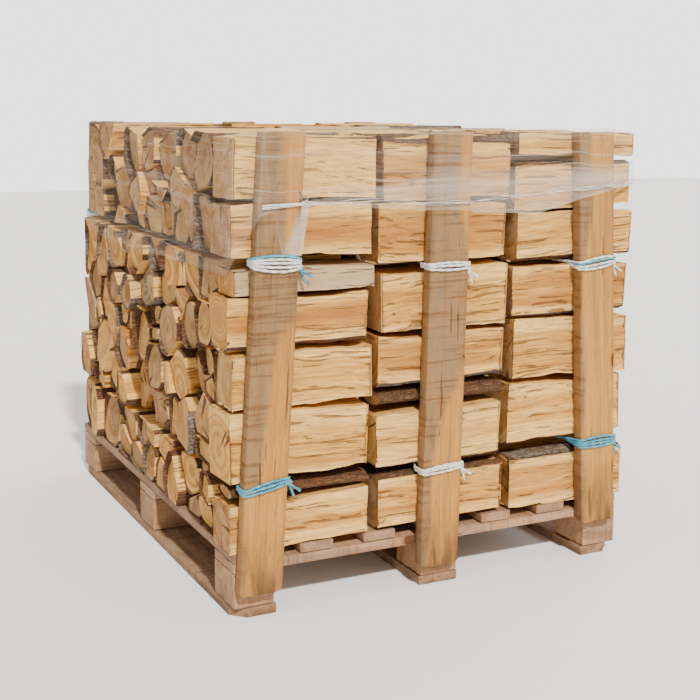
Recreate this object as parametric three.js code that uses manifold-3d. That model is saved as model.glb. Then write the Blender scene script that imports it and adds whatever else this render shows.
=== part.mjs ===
// A pallet of split firewood: a block pallet, three rows of 33 cm logs lying side by side,
// six upright boards tied through the stack with twine, and a band of stretch film.
// Millimetres, +Z up. X runs along the logs, Y across them, and the origin is on the floor
// under the middle of the pallet.
import * as THREE from 'three';
import { mergeVertices } from 'three/addons/utils/BufferGeometryUtils.js';
import Module from 'manifold-3d';

const wasm = await Module();
wasm.setup();

// ---- driving dimensions -------------------------------------------------------------------
const PALLET_X = 1000;
const PALLET_Y = 1200;
const GAP = 0.3; // clearance that resting pieces keep
const BOARD_T = 22; // every pallet board
const BLOCK_H = 77.7;
const BLOCK_X = 95;
const BLOCK_Y = 115;
const RUNNER_X = 100;
const RUNNER_CHAMFER = 32;
const DECK_COUNT = 7;
const DECK_X = 80;

const LOG_L = 330;
const STACK_TOP = 1018; // what the bulk of the stack reaches
const STACK_BACK = 598;
const FRONT_Y = -600.5; // split faces of the front logs
const FRONT_DEPTH = 118; // room that the front logs take
const STEM_SIDES = 18;

const UPRIGHT_T = 30;
const UPRIGHT_W = 98;
const UPRIGHT_Y = 601.3; // inner face of an upright
const UPRIGHT_TOP = 1024;

const TIE_R = 3.5;
const TIE_SIDES = 8;
const TIE_TURN = 2.4; // how far a strand cuts each corner of an upright
const TIE_EDGE = UPRIGHT_W / 2 + TIE_R + TIE_TURN / 2; // strand to middle, at an upright
const TIE_INSIDE = 22; // strand to middle, inside the stack
const TIE_DRAW = 70; // over what depth it gets there
const CHANNEL = 10; // room through the stack for one strand

const FILM_T = 1.6;
const FILM_TOP = 1033;
const FILM_LOW = 702; // lower edge on the left end
const FILM_FRONT_LOW = 866; // lower edge on the front and the right end
const FILM_BACK_LOW = 812; // lower edge on the back, clear of the twine
const FILM_X = 517.5; // inner face over the log ends

// ---- materials ----------------------------------------------------------------------------
const finish = (color, roughness, more = {}) =>
  new THREE.MeshStandardMaterial({ color, roughness, metalness: 0, ...more });
const palletWood = () => finish('#a08a6c', 0.85);
const uprightWood = () => finish('#b78a52', 0.8);
const splitWood = () => finish('#cfa468', 0.8);
const stackWood = () => finish('#a87c4c', 0.85);
const blueTwine = () => finish('#3f9db5', 0.6);
const whiteTwine = () => finish('#e9e7e0', 0.6);
const film = () => finish('#e4e9ec', 0.25, { transparent: true, opacity: 0.3 });

// ---- helpers ------------------------------------------------------------------------------
const group = new THREE.Group();

function place(name, geometry, material) {
  const mesh = new THREE.Mesh(geometry, material);
  mesh.name = name;
  group.add(mesh);
  return mesh;
}

// An axis-aligned block between two corners.
function block([x0, y0, z0], [x1, y1, z1]) {
  const geometry = new THREE.BoxGeometry(x1 - x0, y1 - y0, z1 - z0);
  return geometry.translate((x0 + x1) / 2, (y0 + y1) / 2, (z0 + z1) / 2);
}

// An outline [[a, b], ...] extruded by a length along +Z of its own frame.
function prism(outline, length) {
  const shape = new THREE.Shape(outline.map(([a, b]) => new THREE.Vector2(a, b)));
  return new THREE.ExtrudeGeometry(shape, { depth: length, bevelEnabled: false });
}

// Own (x, y, z) becomes world (y, z, x): an outline drawn in Y and Z runs along X.
const ALONG_X = new THREE.Matrix4().set(0, 0, 1, 0, 1, 0, 0, 0, 0, 1, 0, 0, 0, 0, 0, 1);
// Own (x, y, z) becomes world (x, -z, y): an outline drawn in X and Z runs along -Y.
const ALONG_Y = new THREE.Matrix4().makeRotationX(Math.PI / 2);

function solid(geometry) {
  const bare = geometry.clone();
  bare.deleteAttribute('normal');
  bare.deleteAttribute('uv');
  const merged = mergeVertices(bare, 1e-4);
  return new wasm.Manifold(new wasm.Mesh({
    numProp: 3,
    vertProperties: new Float32Array(merged.attributes.position.array),
    triVerts: new Uint32Array(merged.index.array),
  }));
}

function geometryOf(manifold) {
  const { vertProperties, triVerts, numProp } = manifold.getMesh();
  const geometry = new THREE.BufferGeometry();
  const points = new Float32Array((vertProperties.length / numProp) * 3);
  for (let i = 0; i < points.length / 3; i += 1) {
    points.set(vertProperties.subarray(i * numProp, i * numProp + 3), i * 3);
  }
  geometry.setAttribute('position', new THREE.BufferAttribute(points, 3));
  geometry.setIndex(new THREE.BufferAttribute(new Uint32Array(triVerts), 1));
  geometry.computeVertexNormals();
  return geometry;
}

const cut = (body, tools) =>
  geometryOf(tools.reduce((left, tool) => left.subtract(solid(tool)), solid(body)));

// ---- pallet -------------------------------------------------------------------------------
const SIDES = ['left', 'middle', 'right'];
const DEPTHS = ['front', 'middle', 'back'];
const HALF_X = PALLET_X / 2;
const HALF_Y = PALLET_Y / 2;
const Z_BLOCK = BOARD_T + GAP;
const Z_STRINGER = Z_BLOCK + BLOCK_H + GAP;
const Z_DECK = Z_STRINGER + BOARD_T + GAP;
const Z_STACK = Z_DECK + BOARD_T + GAP;

// A runner's outer corners are sawn off at both ends, so that a truck rolls over them.
function runner(side) {
  const centre = (side - 1) * (HALF_X - RUNNER_X / 2);
  const [x0, x1] = [centre - RUNNER_X / 2, centre + RUNNER_X / 2];
  const c = RUNNER_CHAMFER;
  const left = side === 0 ? c : 0;
  const right = side === 2 ? c : 0;
  const corners = [
    [x0 + left, -HALF_Y], [x1 - right, -HALF_Y], [x1, -HALF_Y + right], [x1, HALF_Y - right],
    [x1 - right, HALF_Y], [x0 + left, HALF_Y], [x0, HALF_Y - left], [x0, -HALF_Y + left],
  ];
  const outline = corners.filter(([x, y], i) => {
    const [nx, ny] = corners[(i + 1) % corners.length];
    return Math.hypot(nx - x, ny - y) > GAP;
  });
  return prism(outline, BOARD_T);
}

for (const [side, sideName] of SIDES.entries()) {
  place(`runner_${sideName}`, runner(side), palletWood());
  const x = (side - 1) * (HALF_X - BLOCK_X / 2);
  for (const [depth, depthName] of DEPTHS.entries()) {
    const y = (depth - 1) * (HALF_Y - BLOCK_Y / 2);
    const low = [x - BLOCK_X / 2, y - BLOCK_Y / 2, Z_BLOCK];
    const high = [x + BLOCK_X / 2, y + BLOCK_Y / 2, Z_BLOCK + BLOCK_H];
    place(`block_${depthName}_${sideName}`, block(low, high), palletWood());
  }
}

for (const [depth, depthName] of DEPTHS.entries()) {
  const y = (depth - 1) * (HALF_Y - BLOCK_Y / 2);
  const low = [-HALF_X, y - BLOCK_Y / 2, Z_STRINGER];
  const high = [HALF_X, y + BLOCK_Y / 2, Z_STRINGER + BOARD_T];
  place(`stringer_${depthName}`, block(low, high), palletWood());
}

const DECK_PITCH = (PALLET_X - DECK_X) / (DECK_COUNT - 1);
for (let i = 0; i < DECK_COUNT; i += 1) {
  const x0 = -HALF_X + i * DECK_PITCH;
  const low = [x0, -HALF_Y, Z_DECK];
  const high = [x0 + DECK_X, HALF_Y, Z_DECK + BOARD_T];
  place(`deck_board_${i + 1}`, block(low, high), palletWood());
}

// ---- uprights -----------------------------------------------------------------------------
// Each leans a little in its own plane: x of its middle line at the foot and at the top.
const UPRIGHTS = {
  front_left: { face: -1, foot: -450, top: -401, low: 58 },
  front_middle: { face: -1, foot: -17, top: -3, low: 52 },
  front_right: { face: -1, foot: 424, top: 378, low: 92 },
  back_left: { face: 1, foot: -432, top: -414, low: 66 },
  back_middle: { face: 1, foot: 8, top: -6, low: 84 },
  back_right: { face: 1, foot: 398, top: 409, low: 60 },
};

const middleAt = ({ foot, top, low }, z) =>
  foot + ((top - foot) * (z - low)) / (UPRIGHT_TOP - low);

// The foot has its corners knocked off, and the top is sawn square.
function upright({ face, foot, top, low }) {
  const half = UPRIGHT_W / 2;
  const corner = 8;
  const outline = [
    [foot - half + corner, low], [foot + half - corner, low], [foot + half, low + corner],
    [top + half, UPRIGHT_TOP], [top - half, UPRIGHT_TOP], [foot - half, low + corner],
  ];
  const geometry = prism(outline, UPRIGHT_T).applyMatrix4(ALONG_Y);
  return geometry.translate(0, face < 0 ? -UPRIGHT_Y : UPRIGHT_Y + UPRIGHT_T, 0);
}

for (const [name, board] of Object.entries(UPRIGHTS)) {
  place(`upright_${name}`, upright(board), uprightWood());
}

// ---- rows ---------------------------------------------------------------------------------
// lower and upper are the heights of the two gaps between courses that take the twine.
const ROWS = {
  left: { x0: -507, lower: 291, upper: 758 },
  middle: { x0: -165, lower: 279, upper: 734 },
  right: { x0: 180, lower: 292, upper: 722 },
};

// ---- twine --------------------------------------------------------------------------------
const TIE_MATERIAL = {
  left_lower: blueTwine, middle_lower: whiteTwine, right_lower: blueTwine,
  left_upper: whiteTwine, middle_upper: whiteTwine, right_upper: whiteTwine,
};

// The two strands of a loop as [front x, back x], clear of the middle of the uprights.
function strands(row, z, clear) {
  const front = middleAt(UPRIGHTS[`front_${row}`], z);
  const back = middleAt(UPRIGHTS[`back_${row}`], z);
  return [[front - clear, back - clear], [front + clear, back + clear]];
}

// The corners of a loop drawn tight round both uprights. Its strands draw together behind
// them, so that they stay well inside the row.
function loopCorners(row, z) {
  const [[fl, bl], [fr, br]] = strands(row, z, TIE_EDGE);
  const [[fli, bli], [fri, bri]] = strands(row, z, TIE_INSIDE);
  const inner = UPRIGHT_Y - 2;
  const deep = UPRIGHT_Y - TIE_DRAW;
  const outer = UPRIGHT_Y + UPRIGHT_T + TIE_R + GAP;
  const turn = TIE_TURN;
  return [
    [fr - turn, -outer], [fr, -outer + turn], [fr, -inner], [fri, -deep], [bri, deep],
    [br, inner], [br, outer - turn], [br - turn, outer], [bl + turn, outer],
    [bl, outer - turn], [bl, inner], [bli, deep], [fli, -deep], [fl, -inner],
    [fl, -outer + turn], [fl + turn, -outer],
  ].map(([x, y]) => new THREE.Vector3(x, y, z));
}

// A straight rod along each side of the loop and a ball at each corner, joined.
function loop(corners) {
  const pieces = corners.flatMap((corner, i) =>
    [rod(corner, corners[(i + 1) % corners.length]), ball(corner)]);
  return geometryOf(pieces.reduce((sum, next) => sum.add(next)));
}

function rod(from, to) {
  const along = new THREE.Vector3().subVectors(to, from);
  const geometry = new THREE.CylinderGeometry(TIE_R, TIE_R, along.length(), TIE_SIDES);
  geometry.rotateZ(-Math.PI / 2);
  geometry.rotateZ(Math.atan2(along.y, along.x));
  const middle = new THREE.Vector3().addVectors(from, to).multiplyScalar(0.5);
  return solid(geometry.translate(middle.x, middle.y, middle.z));
}

function ball(centre) {
  const geometry = new THREE.SphereGeometry(TIE_R, TIE_SIDES, TIE_SIDES / 2);
  geometry.rotateX(Math.PI / 2);
  return solid(geometry.translate(centre.x, centre.y, centre.z));
}

// The room that one stretch of a strand leaves in the stack, running past both its ends.
function channel([fromX, fromY], [toX, toY], z) {
  const length = Math.hypot(toX - fromX, toY - fromY);
  const geometry = new THREE.BoxGeometry(length + CHANNEL, CHANNEL, CHANNEL);
  geometry.rotateZ(Math.atan2(toY - fromY, toX - fromX));
  return geometry.translate((fromX + toX) / 2, (fromY + toY) / 2, z);
}

// Each strand runs through the middle of the row, then out to the edge of the back upright.
function channels(row, z) {
  const edges = strands(row, z, TIE_EDGE);
  return strands(row, z, TIE_INSIDE).flatMap(([front, back], side) => {
    const inside = [back, UPRIGHT_Y - TIE_DRAW];
    return [
      channel([front, -inside[1]], inside, z),
      channel(inside, [edges[side][1], UPRIGHT_Y], z),
    ];
  });
}

for (const [row, { lower, upper }] of Object.entries(ROWS)) {
  for (const [level, z] of Object.entries({ lower, upper })) {
    const geometry = loop(loopCorners(row, z));
    place(`twine_${row}_${level}`, geometry, TIE_MATERIAL[`${row}_${level}`]());
  }
}

// ---- bulk of each row ---------------------------------------------------------------------
// The logs behind the front ones, as one mass whose top follows the backs of the top logs.
const TOP_LOGS = 11;
const TOP_DIP = 2.5; // dip between two neighbours on the top
function rowMass(rowIndex, x0) {
  const front = FRONT_Y + FRONT_DEPTH;
  const step = (STACK_BACK - front) / TOP_LOGS;
  const outline = [[front, Z_STACK], [STACK_BACK, Z_STACK]];
  for (let i = TOP_LOGS; i >= 0; i -= 1) {
    outline.push([front + i * step, STACK_TOP - TOP_DIP]);
    if (i > 0) {
      const crown = TOP_DIP * Math.sin(1.9 * i + rowIndex);
      outline.push([front + (i - 0.5) * step, STACK_TOP + crown]);
    }
  }
  return prism(outline, LOG_L).applyMatrix4(ALONG_X).translate(x0, 0, 0);
}

for (const [index, [row, { x0, lower, upper }]] of Object.entries(ROWS).entries()) {
  const room = [lower, upper].flatMap((z) => channels(row, z));
  place(`logs_behind_${row}`, cut(rowMass(index, x0), room), stackWood());
}

// ---- front logs ---------------------------------------------------------------------------
// Each is a round stem split along its length. low and high are the heights of its split
// edges, back is how far it reaches behind the front face, and pith and r place the stem:
// [low, high, back, pith_y, pith_z, r, x_shift].
const FRONT_LOGS = {
  left: [
    [146, 246, 100, 70, 200, 92, -4],
    [252, 282, 92, 90, 215, 92, 3],
    [300, 440, 112, 96, 352, 112, -6],
    [449, 566, 108, 20, 512, 96, 2],
    [575, 684, 104, 60, 640, 92, -8],
    [692, 745, 96, 80, 760, 100, 4],
    [768, 876, 106, 88, 820, 98, -3],
    [884, 1016, 110, 70, 940, 106, 5],
  ],
  middle: [
    [147, 270, 104, 26, 200, 78, 3],
    [288, 409, 110, 74, 352, 96, -4],
    [418, 460, 88, 100, 436, 96, 6],
    [468, 582, 108, 96, 530, 104, -2],
    [590, 725, 112, 92, 664, 112, 4],
    [743, 868, 106, 66, 808, 96, -5],
    [877, 1014, 110, 96, 950, 112, 2],
  ],
  right: [
    [146, 283, 110, 92, 226, 110, 4],
    [301, 444, 112, 98, 366, 116, -6],
    [453, 591, 112, 40, 524, 92, 5],
    [599, 713, 106, 88, 654, 100, -3],
    [731, 840, 104, 84, 786, 96, 6],
    [848, 960, 106, 72, 904, 94, -4],
    [968, 1020, 92, 60, 974, 76, 3],
  ],
};

function splitLog(x0, [low, high, back, pithY, pithZ, r, shift]) {
  const stem = new THREE.CylinderGeometry(r * 0.985, r, LOG_L, STEM_SIDES);
  stem.rotateZ(-Math.PI / 2).translate(x0 + LOG_L / 2 + shift, FRONT_Y + pithY, pithZ);
  const wedge = block([-2 * HALF_X, FRONT_Y, low], [2 * HALF_X, FRONT_Y + back, high]);
  return geometryOf(solid(stem).intersect(solid(wedge)));
}

for (const [row, logs] of Object.entries(FRONT_LOGS)) {
  for (const [i, log] of logs.entries()) {
    place(`log_${row}_${i + 1}`, splitLog(ROWS[row].x0, log), splitWood());
  }
}

// ---- stretch film -------------------------------------------------------------------------
// A band pulled straight over the uprights and round the four corners of the stack.
function filmOutline(grow) {
  const x = FILM_X + grow;
  const y = UPRIGHT_Y + UPRIGHT_T + 1 + grow;
  const corner = UPRIGHT_Y + 1.5 + grow;
  return [
    [-x, -corner], [-482, -y], [452, -y], [x, -corner],
    [x, corner], [466, y], [-486, y], [-x, corner],
  ];
}

const filmRing = solid(prism(filmOutline(FILM_T), FILM_TOP - FILM_LOW))
  .subtract(solid(prism(filmOutline(0), FILM_TOP - FILM_LOW + 2).translate(0, 0, -1)))
  .translate([0, 0, FILM_LOW]);
const belowFilm = FILM_LOW - 1;
const frontOpening = block(
  [-FILM_X + 1, -2 * HALF_Y, belowFilm], [2 * HALF_X, -UPRIGHT_Y + 40, FILM_FRONT_LOW],
);
const rightOpening = block(
  [HALF_X, -2 * HALF_Y, belowFilm], [2 * HALF_X, UPRIGHT_Y - 60, FILM_FRONT_LOW],
);
const backOpening = block(
  [-FILM_X + 1, UPRIGHT_Y - 61, belowFilm], [2 * HALF_X, 2 * HALF_Y, FILM_BACK_LOW],
);
const openings = [frontOpening, rightOpening, backOpening].map(solid);
place('stretch_film', geometryOf(openings.reduce((ring, o) => ring.subtract(o), filmRing)), film());

export default group;
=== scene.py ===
# %% [markdown]
# # A pallet of split firewood
# The real thing is a wooden pallet with three rows of short logs on it, six rough boards
# standing against the stack, twine that ties each front board to a back one, and stretch
# film round the top. The solid model already holds every size. Here each piece gets its
# surface: sawn ends, split faces, bark, weathered boards, twisted twine and clear film.

# %% Load the solid model
import math

import bmesh
import bpy
import numpy as np
from mathutils import Matrix, Vector, noise


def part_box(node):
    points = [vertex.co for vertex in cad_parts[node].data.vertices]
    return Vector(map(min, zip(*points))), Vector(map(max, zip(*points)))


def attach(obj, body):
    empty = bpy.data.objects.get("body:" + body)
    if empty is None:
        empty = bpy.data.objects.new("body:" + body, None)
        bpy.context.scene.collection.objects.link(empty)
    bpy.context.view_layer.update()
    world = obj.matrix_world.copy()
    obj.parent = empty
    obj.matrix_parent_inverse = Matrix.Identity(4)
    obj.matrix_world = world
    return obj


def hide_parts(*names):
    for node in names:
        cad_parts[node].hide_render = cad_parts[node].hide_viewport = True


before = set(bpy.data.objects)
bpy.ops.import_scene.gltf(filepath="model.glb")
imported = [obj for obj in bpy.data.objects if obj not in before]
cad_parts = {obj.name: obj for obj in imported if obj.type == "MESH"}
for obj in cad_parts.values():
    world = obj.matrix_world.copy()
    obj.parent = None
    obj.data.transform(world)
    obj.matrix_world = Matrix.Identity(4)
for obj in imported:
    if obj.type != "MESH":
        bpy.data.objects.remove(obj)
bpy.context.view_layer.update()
noise.seed_set(33)  # without this, noise_vector starts from the clock

# %% [markdown]
# ## Camera
# The camera stands a little outside the near left corner, just above the height of the
# stack, and looks slightly down. A long lens keeps the uprights nearly parallel. It turns
# about Z first, then tips down, then rolls a touch about its own line of sight.

# %% Camera
CAMERA_AT = (-1.408, -2.925, 1.080)
CAMERA_YAW = math.radians(26.78)
CAMERA_TIP = math.radians(8.08)
CAMERA_ROLL = math.radians(0.65)

camera_data = bpy.data.cameras.new("camera")
camera_data.lens = 63.8
camera_data.shift_y = -0.1
camera = bpy.data.objects.new("camera", camera_data)
bpy.context.scene.collection.objects.link(camera)
camera.matrix_world = (
    Matrix.Translation(CAMERA_AT)
    @ Matrix.Rotation(-CAMERA_YAW, 4, "Z")
    @ Matrix.Rotation(math.pi / 2 - CAMERA_TIP, 4, "X")
    @ Matrix.Rotation(CAMERA_ROLL, 4, "Z")
)
bpy.context.scene.camera = camera
print("camera at", CAMERA_AT)

# %% [markdown]
# ## Floor and light
# A pale floor and a pale world stand for a studio, a little brighter behind the stack than
# the light it sends. One sun from high in front does most of the work: it falls full on the
# split faces and only grazes the log ends, so that the gaps between the logs go dark and the
# fibres show.

# %% Floor and lights
floor_mesh = bpy.data.meshes.new("floor")
bm = bmesh.new()
bmesh.ops.create_grid(bm, x_segments=1, y_segments=1, size=12.0)
bm.to_mesh(floor_mesh)
bm.free()
floor = bpy.data.objects.new("floor", floor_mesh)
bpy.context.scene.collection.objects.link(floor)
floor.location.z = -0.0005

floor_paint = bpy.data.materials.new("floor_paint")
floor_paint.use_nodes = True
floor_shader = floor_paint.node_tree.nodes["Principled BSDF"]
floor_shader.inputs["Base Color"].default_value = (0.93, 0.93, 0.92, 1)
floor_shader.inputs["Roughness"].default_value = 0.9
floor_mesh.materials.append(floor_paint)

world = bpy.data.worlds.new("pale_room")
bpy.context.scene.world = world
world.use_nodes = True
sky = world.node_tree.nodes["Background"]
sky.inputs["Color"].default_value = (1.0, 0.985, 0.965, 1)
seen = world.node_tree.nodes.new("ShaderNodeLightPath").outputs["Is Camera Ray"]
strength = world.node_tree.nodes.new("ShaderNodeMapRange")
strength.inputs["To Min"].default_value = 0.85
strength.inputs["To Max"].default_value = 2.6
world.node_tree.links.new(seen, strength.inputs["Value"])
world.node_tree.links.new(strength.outputs[0], sky.inputs["Strength"])


def add_sun(name, towards, strength, spread, color):
    """A sun whose light comes from the direction `towards`."""
    data = bpy.data.lights.new(name, "SUN")
    data.energy = strength
    data.angle = math.radians(spread)
    data.color = color
    sun = bpy.data.objects.new(name, data)
    bpy.context.scene.collection.objects.link(sun)
    sun.rotation_euler = Vector(towards).to_track_quat("Z", "Y").to_euler()
    return sun


add_sun("key", (-0.16, -1.0, 0.92), 5.0, 3.0, (1.0, 0.96, 0.9))
add_sun("fill", (1.0, 0.7, 0.8), 1.2, 30.0, (1.0, 0.98, 0.95))
print("lights set")

# %% [markdown]
# ## Helpers for materials
# A material is a small network of nodes. `add` makes one node, fills its sockets from
# numbers or from other nodes' outputs, and hands back one of its outputs, so that a network
# reads from top to bottom like a recipe. `coats` lays one colour over another.

# %% Node helpers
def add(tree, kind, values=(), output=0, **settings):
    """One node. values are (socket, number or output) pairs."""
    node = tree.nodes.new("ShaderNode" + kind)
    for name, value in settings.items():
        setattr(node, name, value)
    for socket, value in values:
        if isinstance(value, bpy.types.NodeSocket):
            tree.links.new(value, node.inputs[socket])
        else:
            node.inputs[socket].default_value = value
    return node.outputs[output]


def parts(tree, kind, value):
    """The numbers of a vector (kind XYZ) or of a colour (kind Color)."""
    return add(tree, "Separate" + kind, [(0, value)]).node.outputs


def math_node(tree, operation, a, b=0.0, c=0.0):
    return add(tree, "Math", [(0, a), (1, b), (2, c)], operation=operation)


def times(tree, a, b):
    return math_node(tree, "MULTIPLY", a, b)


def ramp(tree, value, low, high, to_low=0.0, to_high=1.0):
    """Maps low..high to to_low..to_high with soft ends."""
    sockets = [("Value", value), ("From Min", low), ("From Max", high)]
    sockets += [("To Min", to_low), ("To Max", to_high)]
    return add(tree, "MapRange", sockets, interpolation_type="SMOOTHSTEP")


def mix(tree, factor, a, b):
    """A colour mix."""
    return add(tree, "Mix", [(0, factor), (6, a), (7, b)], output=2, data_type="RGBA")


def coats(tree, color, *layers):
    """Each layer is (how much of it shows, its colour), from the first laid to the last."""
    for share, layer in layers:
        color = mix(tree, share, color, layer)
    return color


def stretched(tree, vector, scale, offset=(0, 0, 0)):
    """The vector scaled by its own factor on each axis."""
    return add(tree, "Mapping", [("Vector", vector), ("Scale", scale), ("Location", offset)])


def fuzz(tree, vector, scale=1.0, detail=3.0, rough=0.55, distort=0.0):
    """Soft noise from 0 to 1."""
    sockets = [("Vector", vector), ("Scale", scale), ("Detail", detail)]
    sockets += [("Roughness", rough), ("Distortion", distort)]
    return add(tree, "TexNoise", sockets)


print("node helpers ready")

# %% [markdown]
# ## Groups, materials and bump
# A group is a network that several materials place. A material starts from Blender's own
# Principled shader, and a height made of the same noise as its colour gives it relief.

# %% Group and material helpers
def group_sockets(tree, ins, outs):
    """Declares a group's inputs and outputs and returns its two end nodes."""
    for name, kind, default in ins:
        socket = tree.interface.new_socket(name=name, in_out="INPUT", socket_type=kind)
        if default is not None:
            socket.default_value = default
    for name, kind in outs:
        tree.interface.new_socket(name=name, in_out="OUTPUT", socket_type=kind)
    return tree.nodes.new("NodeGroupInput"), tree.nodes.new("NodeGroupOutput")


def place_group(tree, group, values):
    return add(tree, "Group", values, node_tree=group).node.outputs


def new_material(name, roughness=0.8, specular=0.3):
    """A material with a Principled shader. Returns it, its tree and the shader."""
    material = bpy.data.materials.new(name)
    material.use_nodes = True
    tree = material.node_tree
    shader = tree.nodes["Principled BSDF"]
    shader.inputs["Roughness"].default_value = roughness
    shader.inputs["Specular IOR Level"].default_value = specular
    return material, tree, shader


def bump(tree, height, strength, distance):
    sockets = [("Height", height), ("Strength", strength), ("Distance", distance)]
    return add(tree, "Bump", sockets)


FLOAT, VECTOR = "NodeSocketFloat", "NodeSocketVector"
print("group and material helpers ready")

# %% [markdown]
# ## Wood fibres, as a shared group
# All the wood here shows the same thing at three sizes: broad soft bands, fine fibres, and
# thin dark checks where the wood has torn or dried. Each is noise pulled out along the
# grain, which runs along X of the vector that goes in. Split faces and boards both place
# this group, each with its own strengths.

# %% Fibre group
def make_fibres():
    group = bpy.data.node_groups.new("wood_fibres", "ShaderNodeTree")
    ins = [("Vector", VECTOR, None), ("Shift", FLOAT, 0.0), ("Checks", FLOAT, 0.5)]
    outs = [("Bands", FLOAT), ("Fibres", FLOAT), ("Checks", FLOAT), ("Height", FLOAT)]
    start, end = group_sockets(group, ins, outs)
    shift = add(group, "CombineXYZ", [(0, start.outputs[1]), (1, start.outputs[1])])
    slope = times(group, math_node(group, "SINE", start.outputs[1]), 0.07)
    slant = times(group, parts(group, "XYZ", start.outputs[0])[0], slope)
    sway = fuzz(group, stretched(group, start.outputs[0], (4.0, 9.0, 9.0)), 1.0, 2.0)
    sway = math_node(group, "MULTIPLY_ADD", sway, 0.04, slant)
    swaying = add(group, "CombineXYZ", [(0, 0.0), (1, sway), (2, sway)])
    vector = add(group, "VectorMath", [(0, start.outputs[0]), (1, shift)], operation="ADD")
    vector = add(group, "VectorMath", [(0, vector), (1, swaying)], operation="ADD")
    bands = fuzz(group, stretched(group, vector, (2.6, 44.0, 44.0)), 1.0, 4.0, 0.65)
    fibres = fuzz(group, stretched(group, vector, (12.0, 240.0, 240.0)), 1.0, 5.0, 0.7)
    tears = fuzz(group, stretched(group, vector, (3.6, 115.0, 115.0)), 1.0, 4.0, 0.62, 0.2)
    level = ramp(group, start.outputs[2], 0.0, 1.0, 0.28, 0.48)
    edge = math_node(group, "SUBTRACT", level, 0.05)
    checks = ramp(group, tears, edge, level, 1.0, 0.0)
    height = math_node(group, "MULTIPLY_ADD", fibres, 0.45, 0.0)
    height = math_node(group, "MULTIPLY_ADD", bands, 0.6, height)
    height = math_node(group, "MULTIPLY_ADD", checks, -0.9, height)
    for socket, value in enumerate((bands, fibres, checks, height)):
        group.links.new(value, end.inputs[socket])
    return group


wood_fibres = make_fibres()
print("fibre group:", len(wood_fibres.nodes), "nodes")

# %% [markdown]
# ## Growth rings and sapwood, as a shared group
# A log is one solid of rings round its pith, whichever way it is cut, so a sawn end shows
# circles and a split face shows long stripes. Every log carries its own distance from the
# pith in a UV map called pith, in decimetres, and four numbers in an attribute called log:
# its tone, the radius where the pale sapwood starts, a shift, and the radius of the bark.

# %% Ring group
def make_rings():
    group = bpy.data.node_groups.new("growth_rings", "ShaderNodeTree")
    ins = [("Spacing", FLOAT, 0.035)]
    outs = [("Tone", FLOAT), ("Sapwood", FLOAT), ("Rings", FLOAT), ("Rim", FLOAT)]
    outs += [("Shift", FLOAT), ("Around", VECTOR)]
    start, end = group_sockets(group, ins, outs)
    pith = add(group, "UVMap", uv_map="pith")
    log = add(group, "Attribute", attribute_name="log")
    tone, heart, shift = parts(group, "Color", log)
    bark = log.node.outputs["Alpha"]
    wander = fuzz(group, pith, 1.6, 2.0)
    wander = math_node(group, "MULTIPLY_ADD", wander, 0.16, -0.08)
    radius = add(group, "VectorMath", [(0, pith)], output="Value", operation="LENGTH")
    rough_radius = math_node(group, "ADD", radius, wander)
    sap_from = math_node(group, "SUBTRACT", heart, 0.05)
    sap_to = math_node(group, "ADD", heart, 0.07)
    sapwood = ramp(group, rough_radius, sap_from, sap_to)
    turns = math_node(group, "DIVIDE", rough_radius, start.outputs[0])
    saw = math_node(group, "FRACT", turns)
    rings = math_node(group, "POWER", saw, 3.0)
    rim = math_node(group, "DIVIDE", radius, bark)
    for socket, value in enumerate((tone, sapwood, rings, rim, shift, pith)):
        group.links.new(value, end.inputs[socket])
    return group


growth_rings = make_rings()
print("ring group:", len(growth_rings.nodes), "nodes")

# %% [markdown]
# ## Split wood
# A log that is split tears along its fibres. The face is cream near the bark and tan to
# orange near the pith, with darker streaks and torn fibres all along it. Freshly split wood
# is matt, so the shader has little gloss and most of the life is in colour and bump.

# %% Split wood
CREAM = (0.91, 0.56, 0.172, 1)
STRAW = (0.74, 0.40, 0.085, 1)
TAN = (0.54, 0.245, 0.05, 1)
RUST = (0.33, 0.115, 0.022, 1)
DARK = (0.06, 0.016, 0.005, 1)
ASH = (0.36, 0.24, 0.13, 1)


def make_split_wood():
    material, tree, shader = new_material("split_wood", 0.78, 0.22)
    where = add(tree, "TexCoord", output="Object")
    rings = place_group(tree, growth_rings, [("Spacing", 0.045)])
    fibres = place_group(
        tree, wood_fibres, [("Vector", where), ("Shift", rings["Shift"]), ("Checks", 0.62)]
    )
    heart = mix(tree, ramp(tree, rings["Tone"], 0.1, 0.9), STRAW, TAN)
    old = mix(tree, fibres["Fibres"], ASH, (0.62, 0.45, 0.27, 1))
    wood = coats(
        tree, heart,
        (ramp(tree, fibres["Bands"], 0.46, 0.72, 0.0, 0.8), RUST),
        (rings["Sapwood"], CREAM),
        (ramp(tree, fibres["Bands"], 0.30, 0.48, 0.75, 0.0), CREAM),
        (times(tree, rings["Rings"], 0.34), TAN),
        (ramp(tree, fibres["Fibres"], 0.38, 0.62, 0.45, 0.0), RUST),
        (ramp(tree, rings["Tone"], 0.93, 1.1, 0.0, 0.85), old),
        (times(tree, fibres["Checks"], 0.7), (0.14, 0.045, 0.01, 1)),
    )
    tree.links.new(wood, shader.inputs["Base Color"])
    tree.links.new(bump(tree, fibres["Height"], 0.9, 0.005), shader.inputs["Normal"])
    return material


split_wood = make_split_wood()
print("split wood:", len(split_wood.node_tree.nodes), "nodes")

# %% [markdown]
# ## Sawn ends
# Firewood is cross-cut before it is split, so both ends are flat, with a rim of bark, a
# pale ring of sapwood and a darker heart. The chain leaves faint straight lines, drying
# opens checks that run out from the pith, and ends that have stood outside turn grey-brown.

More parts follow.
